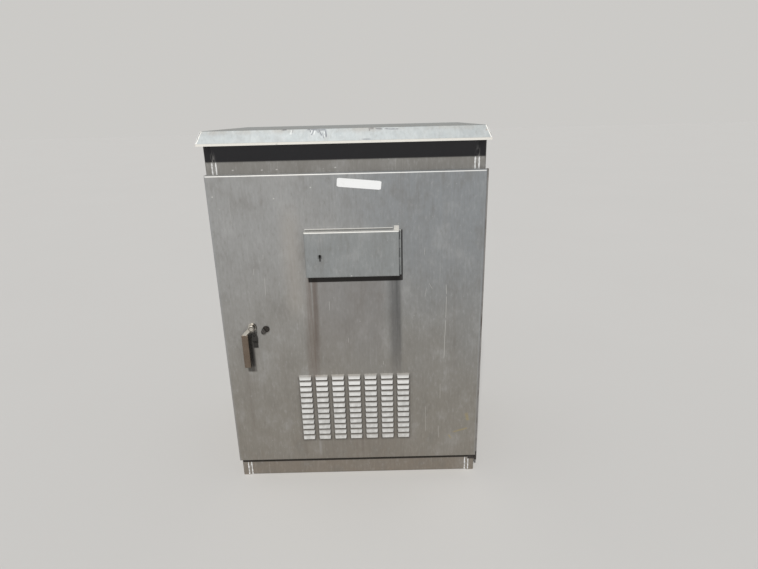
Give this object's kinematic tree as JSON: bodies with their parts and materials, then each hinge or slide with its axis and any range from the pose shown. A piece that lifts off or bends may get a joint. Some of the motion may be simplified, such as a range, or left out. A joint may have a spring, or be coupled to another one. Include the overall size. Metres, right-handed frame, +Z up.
{
  "type": "roadside utility cabinet",
  "caption": "Free-standing sheet-metal roadside cabinet with a louvred hinged door, small inset service door, turning padlockable handle, three-point latch and hipped roof lid",
  "frame": {"origin": "centre of the anchor bolt pattern, on the underside of the base", "axes": "+Z up, the door faces -Y, +X to the right as seen from the front"},
  "size_m": [0.9815, 0.728, 1.3905],
  "materials": {
    "body_sheet": "weathered mill",
    "roof_sheet": "weathered mill",
    "door_sheet": "weathered mill",
    "inner_sheet": "mill",
    "hinge_steel": "dull stainless",
    "handle_steel": "polished stainless",
    "plated_steel": "zinc plated",
    "lock_metal": "dark, worn",
    "seal_rubber": "closed-cell foam",
    "nylon": "natural",
    "filter_card": "pleated",
    "fan_plastic": "moulded",
    "switch_plastic": "moulded",
    "lever_chrome": "bright",
    "bus_metal": "bare copper"
  },
  "bodies": {
    "cabinet": {"left_side_panel": "body_sheet", "right_side_panel": "body_sheet", "back_panel": "body_sheet", "header_panel": "body_sheet", "sill_panel": "body_sheet", "roof_hood": "roof_sheet", "door_frame": "body_sheet", "fan_deck": "inner_sheet", "fan_frame": "fan_plastic", "fan_guard": "plated_steel", "fan_control": "fan_plastic", "rail_left_front": "plated_steel", "rail_left_rear": "plated_steel", "rail_right_front": "plated_steel", "rail_right_rear": "plated_steel", "shelf_lower": "inner_sheet", "shelf_upper": "inner_sheet", "shelf_bolts": "plated_steel", "back_board": "inner_sheet", "ground_bar": "bus_metal", "hinge_frame_leaf": "hinge_steel", "hinge_pin": "hinge_steel", "hinge_frame_bolts": "plated_steel", "stay_frame_bracket": "plated_steel"},
    "door": {"main_door": "door_sheet", "door_gasket": "seal_rubber", "hinge_door_leaf": "hinge_steel", "rod_guide_upper": "nylon", "rod_guide_lower": "nylon", "handle_collar": "handle_steel", "padlock_eye": "door_sheet", "lock_body": "lock_metal", "filter_trough": "inner_sheet", "air_filter": "filter_card", "police_box": "inner_sheet", "police_hinge_leaf": "door_sheet", "police_hinge_pin": "hinge_steel", "switch_panel": "inner_sheet", "toggle_body_left": "switch_plastic", "toggle_body_right": "switch_plastic", "drip_strip": "door_sheet", "stay_door_bracket": "plated_steel"},
    "handle": {"door_handle": "handle_steel", "latch_cam": "plated_steel"},
    "upper_rod": {"latch_rod_upper": "plated_steel"},
    "lower_rod": {"latch_rod_lower": "plated_steel"},
    "upper_roller": {"roller_upper": "nylon"},
    "lower_roller": {"roller_lower": "nylon"},
    "lock_plug": {"lock_plug": "lock_metal"},
    "lock_bolt": {"lock_bolt": "lock_metal"},
    "dust_cover": {"dust_cover": "lock_metal"},
    "police_door": {"police_door": "door_sheet", "police_gasket": "seal_rubber"},
    "police_lock": {"police_lock_plug": "lock_metal", "police_lock_cam": "lock_metal"},
    "switch_left": {"toggle_lever_left": "lever_chrome"},
    "switch_right": {"toggle_lever_right": "lever_chrome"},
    "fan": {"fan_rotor": "fan_plastic"},
    "stay_rod": {"stay_rod": "plated_steel"},
    "stay_swivel": {"stay_swivel": "nylon"}
  },
  "joints": [
    {"name": "door_hinge", "type": "hinge", "parent": "cabinet", "child": "door", "pos_m": [0.4875, -0.3345, 0.65], "axis": [0, 0, 1], "range_deg": [0, 120]},
    {"name": "handle_turn", "type": "hinge", "parent": "door", "child": "handle", "pos_m": [-0.3716, -0.362, 0.686], "axis": [0, -1, 0], "range_deg": [0, 90]},
    {"name": "upper_rod_slide", "type": "slide", "parent": "door", "child": "upper_rod", "axis": [0, 0, -1], "range_m": [0, 0.0382]},
    {"name": "lower_rod_slide", "type": "slide", "parent": "door", "child": "lower_rod", "axis": [0, 0, 1], "range_m": [0, 0.0382]},
    {"name": "upper_roller_spin", "type": "hinge", "parent": "upper_rod", "child": "upper_roller", "pos_m": [-0.38612, -0.3389, 1.20763], "axis": [1, 0, 0], "continuous": true},
    {"name": "lower_roller_spin", "type": "hinge", "parent": "lower_rod", "child": "lower_roller", "pos_m": [-0.34003, -0.3389, 0.12937], "axis": [1, 0, 0], "continuous": true},
    {"name": "key_turn", "type": "hinge", "parent": "door", "child": "lock_plug", "pos_m": [-0.321, -0.362, 0.677], "axis": [0, -1, 0], "range_deg": [0, 90]},
    {"name": "lock_bolt_slide", "type": "slide", "parent": "door", "child": "lock_bolt", "axis": [-1, 0, 0], "range_m": [0, 0.01]},
    {"name": "dust_cover_swing", "type": "hinge", "parent": "door", "child": "dust_cover", "pos_m": [-0.3315, -0.366, 0.677], "axis": [0, -1, 0], "range_deg": [0, 90]},
    {"name": "police_door_hinge", "type": "hinge", "parent": "door", "child": "police_door", "pos_m": [0.1835, -0.36535, 0.9625], "axis": [0, 0, 1], "range_deg": [0, 100]},
    {"name": "police_lock_turn", "type": "hinge", "parent": "police_door", "child": "police_lock", "pos_m": [-0.1015, -0.3685, 0.957], "axis": [0, -1, 0], "range_deg": [0, 90]},
    {"name": "switch_left_tilt", "type": "hinge", "parent": "door", "child": "switch_left", "pos_m": [-0.045, -0.3212, 0.965], "axis": [-1, 0, 0], "range_deg": [0, 24]},
    {"name": "switch_right_tilt", "type": "hinge", "parent": "door", "child": "switch_right", "pos_m": [0.045, -0.3212, 0.965], "axis": [-1, 0, 0], "range_deg": [0, 24]},
    {"name": "fan_spin", "type": "hinge", "parent": "cabinet", "child": "fan", "pos_m": [0, 0.04, 1.238], "axis": [0, 0, 1], "continuous": true},
    {"name": "stay_rod_pivot", "type": "hinge", "parent": "door", "child": "stay_rod", "pos_m": [0.3376, -0.34, 1.176], "axis": [0, 0, 1], "range_deg": [-60, 0]},
    {"name": "stay_swivel_pivot", "type": "hinge", "parent": "cabinet", "child": "stay_swivel", "pos_m": [0.33986, -0.308, 1.176], "axis": [0, 0, 1], "range_deg": [0, 60]}
  ],
  "couplings": [
    {"joint": "upper_rod_slide", "follows": "handle_turn", "m_per_rad": 0.024309},
    {"joint": "lower_rod_slide", "follows": "handle_turn", "m_per_rad": 0.024309},
    {"joint": "lock_bolt_slide", "follows": "key_turn", "m_per_rad": 0.0063662},
    {"joint": "stay_rod_pivot", "follows": "door_hinge", "ratio": -0.5},
    {"joint": "stay_swivel_pivot", "follows": "door_hinge", "ratio": 0.5}
  ]
}
